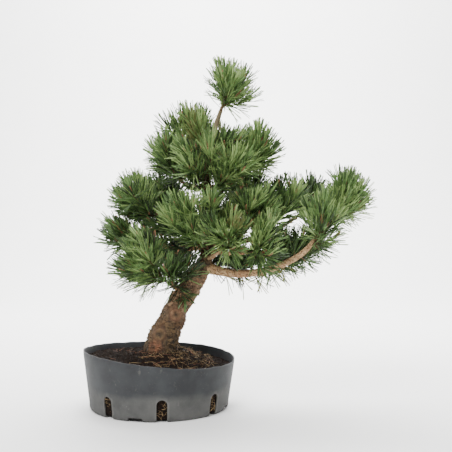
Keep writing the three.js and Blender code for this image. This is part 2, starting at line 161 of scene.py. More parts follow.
def meshPiece(name, points, faces, materials, indices=None, smooth=True):
    mesh = bpy.data.meshes.new(name)
    points = np.asarray(points, np.float32) * mm
    faces = np.asarray(faces, np.int32)
    mesh.vertices.add(len(points))
    mesh.vertices.foreach_set("co", points.ravel())
    sides = faces.shape[1]
    mesh.loops.add(faces.size)
    mesh.loops.foreach_set("vertex_index", faces.ravel())
    mesh.polygons.add(len(faces))
    mesh.polygons.foreach_set("loop_start", np.arange(0, faces.size, sides, dtype=np.int32))
    if indices is not None:
        mesh.polygons.foreach_set("material_index", np.asarray(indices, np.int32))
    mesh.polygons.foreach_set("use_smooth", np.full(len(faces), smooth))
    for material in materials:
        mesh.materials.append(material)
    mesh.update(calc_edges=True)
    return placed(name, mesh)


def addNumber(mesh, label, values):
    made = mesh.attributes.new(label, "FLOAT", "POINT")
    made.data.foreach_set("value", values.astype(np.float32))


def evaluated(piece):
    bpy.context.view_layer.update()
    return bpy.data.meshes.new_from_object(piece.evaluated_get(bpy.context.evaluated_depsgraph_get()))


def unit(vectors):
    return vectors / np.maximum(np.linalg.norm(vectors, axis=-1, keepdims=True), 1e-9)


# Two unit vectors square to each axis, carried along from one helper so that rings don't twist.
def sideVectors(axes, helper):
    across = unit(np.cross(helper, axes))
    return across, np.cross(axes, across)


def helperOf(chord):
    helper = np.zeros(3)
    helper[int(np.argmin(np.abs(chord)))] = 1
    return helper


def anglesOf(sides):
    return np.arange(sides) * 2 * math.pi / sides


# Triangles between rings of equally many points, which follow each other ring by ring.
def between(rows, sides):
    side = np.arange(sides)
    after = (side + 1) % sides
    faces = []
    for start in np.arange(rows - 1) * sides:
        a, b = start + side, start + after
        faces += [np.stack([a, b, b + sides], -1), np.stack([a, b + sides, a + sides], -1)]
    return np.concatenate(faces)


# The same with both ends closed, to the two middle points that come after the rings.
def skin(rows, sides):
    side = np.arange(sides)
    after, last, middle = (side + 1) % sides, (rows - 1) * sides, np.full(sides, rows * sides)
    caps = [np.stack([after, side, middle], -1), np.stack([last + side, last + after, middle + 1], -1)]
    return np.concatenate([between(rows, sides), *caps])


# Tubes on many centre lines at once: lines is (n, steps, 3) and radii (n, steps), both ends closed.
def tubes(lines, radii, sides):
    lines = np.asarray(lines, float)
    count, steps = lines.shape[:2]
    helpers = np.eye(3)[np.argmin(np.abs(lines[:, -1] - lines[:, 0]), axis=1)][:, None, :]
    across, over = sideVectors(unit(np.gradient(lines, axis=1)), helpers)
    angles = anglesOf(sides)
    ring = across[:, :, None] * np.cos(angles)[:, None] + over[:, :, None] * np.sin(angles)[:, None]
    points = lines[:, :, None] + ring * np.asarray(radii)[:, :, None, None]
    points = np.concatenate([points.reshape(count, -1, 3), lines[:, :1], lines[:, -1:]], axis=1)
    faces = skin(steps, sides) + (np.arange(count) * points.shape[1])[:, None, None]
    return points.reshape(-1, 3), faces.reshape(-1, 3)


def settle(piece, slot, *nodes):
    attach(piece, "root")
    if nodes:
        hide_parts(*nodes)


def trianglesOf(piece):
    return sum(len(face.vertices) - 2 for face in piece.data.polygons)


# The plant's rule, as in the part's source
trunkStations = [
    (0, 0, 88, 27), (7, 0, 112, 24), (18, -1, 136, 20.5), (29, -2, 161, 18.6), (45, -3, 184, 17),
    (60, -2, 206, 15.5), (73, 0, 230, 13), (79, 3, 258, 9.6), (77, 5, 288, 7.4), (75, 4, 320, 6.4),
    (77, 0, 355, 5.6), (82, -2, 390, 4.8), (86, 0, 423, 4.3), (91, 1, 452, 3.8), (99, -1, 476, 3.3),
]
# Name: parent limb, where it leaves it (height on the trunk, share of another limb, None at its
# tip), its own tip, how far its middle sags, and the radii of both ends
boughs = {
    "low_left": ("trunk", 184, (20, -22, 197), -2, (5.6, 3.2)),
    "low_back": ("trunk", 202, (26, 38, 208), -2, (5, 3)),
    "right": ("trunk", 225, (217, -36, 240), -18, (7.6, 4.7)),
    "right_rise": ("right", None, (256, -32, 286), 0, (4.7, 3.2)),
    "right_front": ("trunk", 252, (144, -44, 250), -4, (4.2, 2.8)),
    "back_right": ("trunk", 262, (226, 70, 304), -14, (6, 3.2)),
    "front_right": ("trunk", 238, (100, -48, 256), -4, (4.6, 3)),
    "left": ("trunk", 258, (-10, 2, 262), -6, (5.2, 3.2)),
    "mid_right": ("trunk", 278, (134, -26, 282), -6, (4.6, 3)),
    "back_left": ("trunk", 268, (20, 60, 288), -6, (4.8, 3)),
    "back": ("trunk", 298, (128, 62, 304), -6, (4.6, 3)),
    "right_inner": ("trunk", 312, (172, -2, 290), -5, (4.8, 3)),
    "left_high": ("trunk", 292, (2, -2, 306), -5, (4.8, 3)),
    "crown_left": ("trunk", 354, (42, -6, 358), -3, (4.2, 2.8)),
    "crown_right": ("trunk", 354, (134, -6, 368), -7, (4.2, 2.8)),
}
# Name: limb that carries it, height on the trunk or None at its tip, reach, shoots, spread
tufts = {
    "top": ("trunk", None, (112, -4, 510), 6, 50),
    "crown_left": ("crown_left", None, (23, 2, 413), 6, 54),
    "crown_high_left": ("trunk", 388, (45, 22, 454), 4, 20),
    "crown_front": ("trunk", 356, (58, -56, 396), 4, 42),
    "crown_middle": ("trunk", 404, (104, -34, 402), 3, 36),
    "crown_front_right": ("trunk", 338, (122, -56, 391), 4, 42),
    "crown_right": ("crown_right", None, (156, -8, 410), 5, 44),
    "crown_back": ("trunk", 376, (104, 62, 410), 4, 42),
    "crown_back_left": ("trunk", 366, (9, 62, 394), 4, 42),
    "left_high": ("left_high", None, (-53, 0, 324), 6, 56),
    "left": ("left", None, (-66, 2, 283), 6, 56),
    "low_left": ("low_left", None, (-38, -34, 250), 6, 52),
    "low_back": ("low_back", None, (20, 62, 252), 5, 46),
    "back_left": ("back_left", None, (-24, 84, 350), 5, 50),
    "front_left": ("trunk", 248, (47, -66, 315), 5, 46),
    "left_inner": ("trunk", 272, (2, -42, 286), 5, 46),
    "front_middle": ("trunk", 264, (110, -62, 304), 4, 46),
    "front_right": ("front_right", None, (114, -92, 272), 5, 52),
    "right_front": ("right_front", None, (160, -84, 271), 6, 52),
    "mid_right": ("mid_right", None, (156, -50, 318), 5, 46),
    "right_inner": ("right_inner", None, (196, -6, 338), 5, 48),
    "right_back": ("back_right", None, (253, 74, 338), 5, 44),
    "back": ("back", None, (160, 78, 353), 5, 56),
    "back_low": ("trunk", 226, (140, 40, 236), 6, 54),
    "right_end": ("right_rise", None, (309, -8, 332), 6, 26),
    "right_low": ("right_rise", 0.5, (269, -50, 291), 6, 42),
    "low_inner": ("low_left", 0.45, (18, -50, 229), 6, 54),
    "under_right": ("right", 0.62, (240, 14, 269), 5, 54),
    "back_middle": ("trunk", 282, (92, 74, 300), 4, 46),
}


def named(prefix, table):
    limbName = {"trunk": "trunk", **{name: "bough_" + name for name in boughs}}
    return {prefix + name: (limbName[limb], *values) for name, (limb, *values) in table.items()}


boughs, tufts = named("bough_", boughs), named("tuft_", tufts)
growth = {
    "collar": 1.35, "collarShare": 0.2, "seat": 0.3, "stemLift": 0.35, "stemStraight": 0.45,
    "forkFirst": 0.15, "forkLast": 0.6, "wobble": 0.3, "rise": 0.3, "shortest": 34,
    "limbSpans": 16, "shootSpans": 8, "shootClearance": 5, "shootSpacing": 11,
    "barkLobe": 0.05, "barkLobes": 3, "barkRidges": 5, "barkWinding": 9, "seedBase": 4100,
    "sampleRun": 2,
}


def seededRandom(seed):
    state = [seed & 0xFFFFFFFF]

    def times(a, b):
        return (a * b) & 0xFFFFFFFF

    def draw():
        state[0] = (state[0] + 0x6D2B79F5) & 0xFFFFFFFF
        mixed = times(state[0] ^ (state[0] >> 15), state[0] | 1)
        mixed ^= (mixed + times(mixed ^ (mixed >> 7), mixed | 61)) & 0xFFFFFFFF
        return (mixed ^ (mixed >> 14)) / 4294967296

    return draw


class Curve:
    def length(self):
        points = self.at(np.linspace(0, 1, self.samples))
        return float(np.linalg.norm(np.diff(points, axis=0), axis=1).sum())


class Arc(Curve):  # a quadratic curve from start over bend to end
    samples = 30

    def __init__(self, start, bend, end):
        self.start, self.bend, self.end = (np.asarray(p, float) for p in (start, bend, end))

    def at(self, share):
        t = np.asarray(share, float)[..., None]
        return (1 - t) ** 2 * self.start + 2 * t * (1 - t) * self.bend + t * t * self.end

    def along(self, share):
        t = np.asarray(share, float)[..., None]
        return unit((1 - t) * (self.bend - self.start) + t * (self.end - self.bend))


class Spine(Curve):  # the trunk's centre line through its stations
    samples = 300

    def __init__(self, stations):
        inner = np.array(stations, float)[:, :3]
        self.points = np.vstack([2 * inner[0] - inner[1], inner, 2 * inner[-1] - inner[-2]])
        self.spans = len(inner) - 1

    def at(self, share):
        place = np.clip(np.asarray(share, float), 0, 1) * self.spans
        low = np.minimum(place.astype(int), self.spans - 1)
        t = (place - low)[..., None]
        p0, p1, p2, p3 = (self.points[low + i] for i in range(4))
        m1, m2 = (p2 - p0) / 2, (p3 - p1) / 2
        cubic = (2 * p1 - 2 * p2 + m1 + m2) * t**3 + (3 * p2 - 3 * p1 - 2 * m1 - m2) * t**2
        return cubic + m1 * t + p1

    def along(self, share):
        share = np.asarray(share, float)
        return unit(self.at(share + 1e-4) - self.at(share - 1e-4))


def trunkRadius(share):
    radii = [station[3] for station in trunkStations]
    return np.interp(share, np.linspace(0, 1, len(radii)), radii)


def boughRadius(radii, collared):
    def radius(share):
        share = np.asarray(share, float)
        swell = (growth["collar"] - 1) * np.maximum(0, 1 - share / growth["collarShare"])
        return (radii[0] + (radii[1] - radii[0]) * share) * (1 + swell * collared)

    return radius


trunkSpine = Spine(trunkStations)
limbs = {"trunk": (trunkSpine, trunkRadius)}


def rootOn(carrier, leave):
    curve = limbs[carrier][0]
    if leave is None:
        axis = curve.along(1.0)
        return curve.at(1.0) + axis * growth["seat"], axis
    if carrier != "trunk":
        return curve.at(leave), None
    shares = np.linspace(0, 1, 4001)
    return curve.at(np.interp(leave, curve.at(shares)[:, 2], shares)), None


for boughName, (parent, leave, tip, sag, radii) in boughs.items():
    start, axis = rootOn(parent, leave)
    tip = np.array(tip, float)
    bend = (start + tip) / 2
    if axis is not None:
        bend = start + axis * np.linalg.norm(tip - start) / 2
    bend = bend + (0, 0, 2 * sag)
    limbs[boughName] = (Arc(start, bend, tip), boughRadius(radii, leave is not None))


# The least room between points and spans, each span thinned by its own radius.
def leastRoom(points, starts, ends, radii):
    runs, off = ends - starts, points[:, None] - starts
    t = np.clip((off * runs).sum(-1) / (runs * runs).sum(-1), 0, 1)
    return (np.linalg.norm(off - t[..., None] * runs, axis=-1) - radii).min()


limbChains = [[], [], []]
for curve, radiusOf in limbs.values():
    shares = np.linspace(0, 1, growth["limbSpans"] + 1)
    points, radii = curve.at(shares), radiusOf(shares) * (1 + 2 * growth["barkLobe"])
    for chain, values in zip(limbChains, (points[:-1], points[1:], np.maximum(radii[:-1], radii[1:]))):
        chain.extend(values)
limbChains = [np.array(chain) for chain in limbChains]


def middleShoot(on, leave, reach):
    start, axis = rootOn(on, leave)
    end = np.array(reach, float)
    if axis is None:
        axis = unit(np.array([end[0] - start[0], end[1] - start[1], 0]))
        axis = unit(axis + (0, 0, growth["stemLift"]))
    return Arc(start, start + axis * growth["stemStraight"] * np.linalg.norm(end - start), end)


def fanned(point, axis, length, rise):
    end = point + axis * length
    end = end + (0, 0, rise * length)
    return Arc(point, point + axis * length / 2 - np.array((0, 0, rise * length / 4)), end)


# An aim turned round an axis and tilted away from it, and the way out from the axis
def aimed(axis, across, over, angle, tilt):
    out = across * math.cos(angle) + over * math.sin(angle)
    return axis * math.cos(tilt) + out * math.sin(tilt), out


def sideShoots(middle, shoots, spread, random):
    made = []
    tipAxis = middle.along(1.0)
    across, over = sideVectors(tipAxis, helperOf(middle.end - middle.start))
    turn = 2 * math.pi * random()
    step = (growth["forkLast"] - growth["forkFirst"]) / max(1, shoots - 2)
    for k in range(1, shoots):
        point = middle.at(growth["forkFirst"] + step * (k - 1))
        angle = turn + goldenTurn * k + growth["wobble"] * random()
        tilt = math.radians(spread) * (1 + growth["wobble"] * (random() - 0.5))
        axis = aimed(tipAxis, across, over, angle, tilt)[0]
        whole = max(growth["shortest"], float(np.linalg.norm(middle.end - point)))
        made.append(fanned(point, axis, whole * (1 - growth["wobble"] * random()), growth["rise"]))
    return made


# The masses: middle shoots first, then the side shoots that keep clear of limbs and other masses.
shootsOf = {name: [middleShoot(*tuft[:3])] for name, tuft in tufts.items()}
spanShares = np.linspace(0, 1, growth["shootSpans"] + 1)
for number, (name, tuft) in enumerate(tufts.items()):
    others = [curve.at(spanShares) for other, curves in shootsOf.items() if other != name for curve in curves]
    starts, ends = (np.concatenate([chain[part] for chain in others]) for part in (slice(-1), slice(1, None)))
    random = seededRandom(growth["seedBase"] + number)
    for curve in sideShoots(shootsOf[name][0], tuft[3], tuft[4], random):
        points = curve.at(spanShares)[1:]
        clear = leastRoom(points, starts, ends, 0) > growth["shootSpacing"]
        if clear and leastRoom(points, *limbChains) > growth["shootClearance"]:
            shootsOf[name].append(curve)
print("shoots of the source:", sum(len(curves) for curves in shootsOf.values()))


def treeOf(points):
    tree = KDTree(len(points))
    for i, point in enumerate(points):
        tree.insert(point, i)
    tree.balance()
    return tree


# A finely sampled picture of whose space a point is in: every shoot of the source, by mass.
def sampleShares(curve):
    return np.linspace(0, 1, 1 + int(curve.length() / growth["sampleRun"]))


ownerPoints, ownerOf = [], []
for name, curves in shootsOf.items():
    for curve in curves:
        samples = curve.at(sampleShares(curve))
        ownerPoints += list(samples)
        ownerOf += [name] * len(samples)
ownerTree = treeOf(ownerPoints)
limbPoints, limbRadii = [], []
for curve, radiusOf in limbs.values():
    limbPoints += list(curve.at(sampleShares(curve)))
    limbRadii += list(radiusOf(sampleShares(curve)))
limbTree = treeOf(limbPoints)


def clearOfWood(points, clearance):
    for point in points:
        _, index, away = limbTree.find(point)
        if away < limbRadii[index] + clearance:
            return False
    return True


def inOwnSpace(points, owner, clearance, reach):
    for point in points:
        _, index, away = ownerTree.find(point)
        if ownerOf[index] != owner or away > reach:
            return False
    return clearOfWood(points, clearance)


# Finer shoots: each shoot of the source forks again, within the reach that its needles have there.
fineShoots = {
    "first": 0.12, "last": 0.9, "spacing": 9, "tilt": 38, "tiltVary": (0.8, 1.2), "turnVary": 0.3,
    "length": (20, 38), "atFoot": 1.15, "lessAtTip": 0.45, "rise": 0.3, "clearance": 3, "reach": 24,
    "seed": 51,
}
rng = np.random.default_rng(fineShoots["seed"])
allShoots = []  # (mass, curve, level)
for owner, curves in shootsOf.items():
    for k, curve in enumerate(curves):
        allShoots.append((owner, curve, 0 if k == 0 else 1))
        run = fineShoots["last"] - fineShoots["first"]
        forks = max(2, int(curve.length() * run / fineShoots["spacing"]))
        turn = rng.uniform(0, 2 * math.pi)
        for fork in range(forks):
            share = fineShoots["first"] + run * fork / (forks - 1)
            point, axis = curve.at(share), curve.along(share)
            angle = turn + goldenTurn * fork + rng.uniform(-fineShoots["turnVary"], fineShoots["turnVary"])
            tilt = math.radians(fineShoots["tilt"]) * rng.uniform(*fineShoots["tiltVary"])
            aim = aimed(axis, *sideVectors(axis, helperOf(axis)), angle, tilt)[0]
            reach = rng.uniform(*fineShoots["length"])
            reach *= fineShoots["atFoot"] - fineShoots["lessAtTip"] * share
            twig = fanned(point, aim, reach, fineShoots["rise"])
            if inOwnSpace(twig.at(np.array([0.5, 1.0])), owner, fineShoots["clearance"], fineShoots["reach"]):
                allShoots.append((owner, twig, 2))
print("shoots with the finer ones:", len(allShoots))


# Little shoots straight on a bough, sparse ones that hang and fuller ones on the long bough's back:
# bough, number, stretch of it, way back, way up, lengths, pairs of needles, their size and tint, seed
littleKinds = {
    "hanging": ("bough_right", 6, (0.22, 0.92), (0.3, 1.0), -1.0, (5, 12), 4, 0.8, 4, 93),
    "rising": ("bough_right", 10, (0.12, 0.94), (0.2, 1.0), 0.8, (10, 20), 12, 0.68, 1, 95),
    "under_rise": ("bough_right_rise", 4, (0.1, 0.8), (0.0, 0.8), -0.9, (8, 15), 8, 0.68, 1, 101),
    "under_low": ("bough_low_left", 3, (0.15, 0.6), (-0.9, 0.3), -0.7, (8, 13), 8, 0.6, 1, 103),
}
little = {"along": (-0.5, 0.9), "shift": 0.05, "sunk": 0.9, "rise": 0.1}
# Dry stubs of twigs on the trunk, round the foot of the low left bough
stubs = {"count": 9, "low": 168, "high": 208, "turn": (150, 275), "up": (0.2, 1.1), "length": (5, 11),
         "sunk": 0.95, "rise": 0.2, "seed": 97}


def standOff(limb, share, aim, lengths, values):
    curve, radiusOf = limbs[limb]
    foot = curve.at(share) + aim * float(radiusOf(share)) * values["sunk"]
    return fanned(foot, aim, rng.uniform(*lengths), values["rise"])


littleOnes = {name: [] for name in littleKinds}
for name, (bough, count, stretch, back, up, lengths, *others) in littleKinds.items():
    rng = np.random.default_rng(others[-1])
    for share in np.linspace(*stretch, count):
        aim = unit(np.array((rng.uniform(*little["along"]), rng.uniform(*back), up)))
        share += rng.uniform(-little["shift"], little["shift"])
        littleOnes[name].append(standOff(bough, share, aim, lengths, little))
dryStubs = []
rng = np.random.default_rng(stubs["seed"])
shares = np.linspace(0, 1, 400)
for height in np.linspace(stubs["low"], stubs["high"], stubs["count"]):
    share = float(np.interp(height, trunkSpine.at(shares)[:, 2], shares))
    turn = math.radians(rng.uniform(*stubs["turn"]))
    aim = unit(np.array((math.cos(turn), math.sin(turn), rng.uniform(*stubs["up"]))))
    dryStubs.append(standOff("trunk", share, aim, stubs["length"], stubs))


# Materials of the plant
# The bark's marks, among them painted shade by height on the trunk
barkMarks = ("plateau", "plateTone", "paintedShade", "reddish", "young", "knotRing", "knotHole")


def barkFinish(name, plates, dark, middle, light, warm):
    finish = Finish(name)
    cells = finish.noise(plates, 4, 0.65, finish.stretched((1, 1, 0.45)))
    fine, broad = finish.noise(plates * 6, 3, 0.7), finish.noise(18, 2)
    marks = [finish.attribute(mark) for mark in barkMarks]
    plateau, plateTone, paintedShade, reddish, young, knotRing, knotHole = marks
    # Painted shade: the middle and light tones go darker at the trunk's foot and under the crown
    high = finish.mix(paintedShade, light, (98, 79, 52))
    color = finish.layered(
        finish.mix(paintedShade, middle, (43, 34, 22)),
        ((plateTone * 0.6 + cells.ramp(0.38, 0.62) * 0.4).ramp(0.15, 0.85), high),
        (broad.ramp(0.5, 0.64) * 0.35, warm),
        ((1 - plateau.ramp(0.08, 0.36)) * 0.8, dark),
        (fine.ramp(0.58, 0.74) * 0.25, high),
        (reddish * (0.1 + cells.ramp(0.4, 0.6) * 0.4), (146, 88, 62)),
        (knotRing * 0.34, (134, 92, 66)),
        (knotHole * 0.62, (46, 31, 22)),
        (young * 0.8, (136, 124, 96)),
    )
    return finish.wear(color, 0.82 + fine * 0.15, cells * 0.7 + fine * 0.3, 0.002, 0.9)


trunkFinish = barkFinish("trunk bark", 190, (30, 22, 15), (74, 55, 38), (158, 128, 98), (116, 76, 48))
boughFinish = barkFinish("bough bark", 170, (62, 43, 30), (135, 102, 69), (186, 154, 114), (164, 104, 72))
twigFinish = barkFinish("twig bark", 400, (80, 62, 42), (126, 98, 66), (156, 128, 92), (140, 90, 62))


def needleFinish(name, shade, light, dull):
    finish = Finish("needles " + name)
    broad, fine = finish.noise(55, 2), finish.noise(420, 2)
    color = finish.mix(broad.ramp(0.35, 0.65), shade, light)
    color = finish.mix(fine.ramp(0.55, 0.8) * 0.5, color, dull)
    return finish.wear(color, 0.42 + broad * 0.2, specular=0.35)


# The first four are one green in steps of painted shade and painted light, darkest first; the last is last
# year's needles
needleFinishes = [needleFinish(*tones) for tones in (
    ("in shade", (26, 37, 17), (42, 58, 28), (64, 74, 52)),
    ("deep green", (43, 63, 28), (66, 92, 45), (96, 108, 76)),
    ("mid green", (69, 95, 49), (98, 128, 70), (134, 144, 101)),
    ("green in painted light", (102, 128, 68), (140, 164, 100), (172, 176, 130)),
    ("last year", (98, 104, 58), (134, 138, 84), (158, 148, 100)),
)]


# Trunk and boughs with bark relief
barkRelief = {
    "trunkSides": 150, "trunkRings": 600, "plate": 6.2, "depth": 3.0, "boughSides": 30, "boughRun": 1.4,
    "boughPlate": 3.6, "boughDepth": 0.9, "fullRadius": 9, "leastPlate": 0.45, "crown": 0.8,
    # painted shade on the trunk by height: heights, and how much darker the bark is there, darkest at the
    # foot and under the crown
    "paintedShade": ((92, 130, 160, 185, 205, 235), (1, 1, 0.4, 0.05, 0.3, 1)), "patch": ((-4, -23, 97), 12),
    "youngFrom": 400, "youngOver": 50, "seed": 3,
}
# Where an old side shoot was cut away: x, y, z of the knot's middle, its radius and how far it stands out
knots = [((28, -20, 149), 9, 2.4), ((2, -24, 118), 10, 1.2), ((58, -15, 204), 6, 2.0),
         ((36, -8, 180), 6, 2.2), ((46, 14, 176), 7, 2.4), ((12, 21, 128), 7, 2.0), ((63, 14, 214), 6, 2.2)]
# Rings of a knot, in its own radii: middle, half width, and for its relief how far each stands out
knotShape = {
    "relief": ((0, 1.7, 0.6), (0.75, 0.25, 0.7), (1.35, 0.22, 0.4), (0, 0.35, -0.5)),
    "grooves": ((1.05, 0.16), (0, 0.4)), "reach": 1.4, "smooth": 0.7, "ring": (0.85, 0.35), "hole": 0.42,
    "wavy": 0.2, "shift": 0.12, "plateau": 0.7, "plateShare": 0.75, "grooveShare": 0.85,
    "tone": 0.6, "toneShare": 0.7, "fullStand": 2.4,
}

# Without a seed the offsets of noise_vector come from the clock, and the bark differs in every run
noise.seed_set(barkRelief["seed"])


def barkHeight(place, plate):
    # broken scales that stand up unevenly on larger lumps: height, depth of the cracks, tone of a scale
    spot = Vector((place[0], place[1], place[2] * 1.3)) / plate
    spot += noise.noise_vector(spot * 0.8) * 0.9 + noise.noise_vector(spot * 2.1) * 0.4
    away, middles = noise.voronoi(spot, distance_metric="MANHATTAN")[:2]
    crack = min(1.0, (away[1] - away[0]) * 2.2)
    own = noise.noise(middles[0] * 3.7)
    fine = noise.fractal(spot * 1.7, 0.7, 2.2, 3)
    lump = noise.fractal(spot * 0.4, 0.9, 2.2, 3)
    height = crack * (0.4 + 0.75 * own) + 0.75 * lump + 0.35 * fine - 0.35
    return height, crack * 0.75 + 0.5 * fine, 0.5 + 1.3 * own


def bump(away, middle, width, power=2):
    return np.exp(-(((away - middle) / width) ** power))


def limbBark(name, sides, rings, plate, depth, sideOf, finish, slot):
    curve, radiusOf = limbs[name]
    isTrunk = name == "trunk"
    shares = np.linspace(0, 1, rings)
    centres, axes = curve.at(shares), curve.along(shares)
    if isTrunk:
        axes[0] = (0, 0, 1)
    across, over = sideVectors(axes, helperOf(centres[-1] - centres[0]))
    angles = anglesOf(sides)
    radii = radiusOf(shares)[:, None] * sideOf(angles[None, :], shares[:, None])
    ring = across[:, None] * np.cos(angles)[None, :, None] + over[:, None] * np.sin(angles)[None, :, None]
    points = (centres[:, None] + ring * radii[..., None]).reshape(-1, 3)
    size = np.minimum(1, radii.ravel() / barkRelief["fullRadius"])
    plateSizes = plate * (barkRelief["leastPlate"] + (1 - barkRelief["leastPlate"]) * size)
    lift, plates, tones = np.array([barkHeight(*pair) for pair in zip(points, plateSizes)]).T
    plates = np.clip(plates, 0, 1)
    lift = lift * depth * size
    # painted shade by height, on the trunk only
    paintedShade = np.interp(points[:, 2], *barkRelief["paintedShade"]) * isTrunk
    young = np.clip((points[:, 2] - barkRelief["youngFrom"]) / barkRelief["youngOver"], 0, 1) * isTrunk
    middle, radius = barkRelief["patch"]
    patch = bump(np.linalg.norm(points - middle, axis=1), 0, radius, 4) * isTrunk
    knotRing, knotHole = np.zeros(len(points)), np.zeros(len(points))
    for centre, radius, stand in knots if isTrunk else ():
        shape = knotShape
        away = np.linalg.norm(points - centre, axis=1) / radius
        shift = shape["shift"] * (tones - 0.5) * np.minimum(1, away)
        away = away * (1 + shape["wavy"] * (plates - 0.5)) + shift
        near = bump(away, 0, shape["reach"], 4)
        lift *= 1 - shape["smooth"] * near
        lift += stand * sum(height * bump(away, at, wide) for at, wide, height in shape["relief"])
        groove = np.clip(sum(bump(away, *values) for values in shape["grooves"]), 0, 1)
        plates = plates + (shape["plateau"] - plates) * near * shape["plateShare"]
        plates *= 1 - shape["grooveShare"] * groove
        tones += (shape["tone"] - tones) * near * shape["toneShare"]
        strength = stand / shape["fullStand"]
        knotHole = np.maximum(knotHole, strength * bump(away, 0, shape["hole"], 4))
        knotRing = np.maximum(knotRing, strength * bump(away, *shape["ring"], 4))
    points = points + ring.reshape(-1, 3) * lift[:, None]
    if isTrunk:
        points[:sides, 2] = centres[0][2]
    points = np.vstack([points, centres[0], centres[-1] + axes[-1] * barkRelief["crown"]])
    piece = meshPiece(name + "_bark", points, skin(rings, sides), [finish])
    for label, values in zip(barkMarks, (plates, tones, paintedShade, patch, young, knotRing, knotHole)):
        addNumber(piece.data, label, np.append(np.clip(values, 0, 1), (0.5, 0.5)))
    settle(piece, slot, name)


def trunkSide(angles, shares):
    # angles here run the other way round than in the source, which leaves the same lobes
    wide = (1 - shares / 2) * np.sin(growth["barkLobes"] * angles + growth["barkWinding"] * shares)
    return 1 + growth["barkLobe"] * (wide + np.sin(growth["barkRidges"] * angles) / 2)


limbBark("trunk", barkRelief["trunkSides"], barkRelief["trunkRings"], barkRelief["plate"],
         barkRelief["depth"], trunkSide, trunkFinish, "trunk_bark")
for name in boughs:
    rings = int(limbs[name][0].length() / barkRelief["boughRun"])
    limbBark(name, barkRelief["boughSides"], rings, barkRelief["boughPlate"], barkRelief["boughDepth"],
             lambda angles, shares: np.ones_like(angles * shares), boughFinish, "bough_bark")
print("bark done")

# Twigs and buds
twigs = {"starts": (2.8, 2.0, 1.2), "onTip": 0.96, "tip": 0.9, "taper": 0.8, "sides": 6, "steps": 14}
buds = {"length": 16, "radius": 2.7, "fineSize": 0.6, "sunk": 0.15, "sides": 6, "steps": 7}
twigLines, twigRadii, budLines, budRadii = [], [], [], []
twigShares = np.linspace(0, 1, twigs["steps"])
grow = np.linspace(-buds["sunk"], 1, buds["steps"])
budShape = np.sqrt(np.clip(1 - np.clip(grow, 0, 1) ** 2, 0.01, 1))
for owner, curve, level in allShoots:
    carrier, leave = tufts[owner][:2]
    start = twigs["starts"][level]
    if level == 0 and leave is None:
        start = float(limbs[carrier][1](1.0)) * twigs["onTip"]
    twigLines.append(curve.at(twigShares))
    twigRadii.append(start + (twigs["tip"] - start) * twigShares ** twigs["taper"])
    size = 1.0 if level < 2 else buds["fineSize"]
    budLines.append(curve.at(1.0) + curve.along(1.0) * grow[:, None] * buds["length"] * size)
    budRadii.append(buds["radius"] * size * budShape)
for curve in sum(littleOnes.values(), []) + dryStubs:
    twigLines.append(curve.at(twigShares))
    twigRadii.append(np.linspace(twigs["starts"][2], twigs["tip"], twigs["steps"]))
budMaterial = twoTones("bud scales", 900, (0.4, 0.65), (118, 82, 56), (172, 126, 90), 0.6, 0.0003)
for name, lines, radii, sides, finish in (("twigs", twigLines, twigRadii, twigs["sides"], twigFinish),
                                          ("buds", budLines, budRadii, buds["sides"], budMaterial)):
    points, faces = tubes(np.array(lines), np.array(radii), sides)
    settle(meshPiece(name, points, faces, [finish]), "bough_bark")
    print(name, len(faces), "triangles")

# Needles
needles = {
    "length": 41, "uneven": 0.09, "atEnds": 0.86, "width": 0.9, "widthVary": (0.85, 1.15), "flat": 0.6,
    "rings": ((0.0, 0.75), (0.5, 1.0), (0.94, 0.88)), "samples": ((0.45,), (0.75,), (1.0,)),
    "steepest": 68, "flattest": 12, "forward": 0.75, "leanVary": 8, "lift": 0.15, "bow": 0.05, "foot": 0.9,
    "pairTurn": 9, "pairVary": (0.6, 1.6), "pairLean": 5, "perMillimetre": 1.9, "needled": 90, "share": 0.88,
    "fineShare": 0.9, "fineSize": 0.9, "fineThick": 0.85, "littleShare": 0.8,
    "proud": 6, "clearance": 0.4, "reach": 47, "parts": (1, 0.82, 0.64), "seed": 77,
}
# Front and top shoots get lighter greens as painted light, the ones behind and below darker as painted shade:
# lighter by so much a millimetre to the right, to the back and up. The shades are those of needleFinishes,
# and few are last year's.
tints = {"middle": (100, 0, 300), "perMillimetre": (0.2 / 200, -0.3 / 90, 0.35 / 200), "vary": 1.1,
         "less": 0.5, "limits": (-0.5, 0.0, 0.45), "steps": (-1, -1, 0, 0, 0, 1, 1), "lastYear": 4,
         "lastYearShare": 0.012}
# Masses that stand in the others' shade, and how much darker
shaded = {"tuft_right_back": 0.8, "tuft_under_right": 0.2, "tuft_back_low": 0.2, "tuft_low_inner": 0.4,
          "tuft_low_left": -0.25, "tuft_left": -0.3, "tuft_right_end": -0.15, "tuft_top": -0.05}


def needleMesh(bases, axes, sideways, lengths, widths, bows):
    # a three-sided needle that keeps its width to near its sharp tip, with a slight bow
    over = np.cross(axes, sideways)
    rings = []
    for share, width in needles["rings"]:
        sag = bows * lengths * share * (1 - share) * 4
        centre = bases + axes * (lengths * share)[:, None] + over * sag[:, None]
        for angle in anglesOf(3):
            out = sideways * math.cos(angle) + over * (needles["flat"] * math.sin(angle))
            rings.append(centre + out * (widths * width)[:, None])
    points = np.stack(rings + [bases + axes * lengths[:, None]], 1)
    faces = np.concatenate([between(3, 3), [(6, 7, 9), (7, 8, 9), (8, 6, 9), (2, 1, 0)]])
    whole = faces + (np.arange(len(points)) * points.shape[1])[:, None, None]
    return points.reshape(-1, 3), whole.reshape(-1, 3), len(faces)


# Painted light and shade: the step of green follows where the shoot ends, with a random draw
def tintOf(owner, curve, draw):
    if draw > 1 - tints["lastYearShare"]:
        return tints["lastYear"]
    light = np.dot(curve.end - tints["middle"], tints["perMillimetre"]) - shaded.get(owner, 0)
    return int(np.searchsorted(tints["limits"], light + draw * tints["vary"] - tints["less"], "right"))


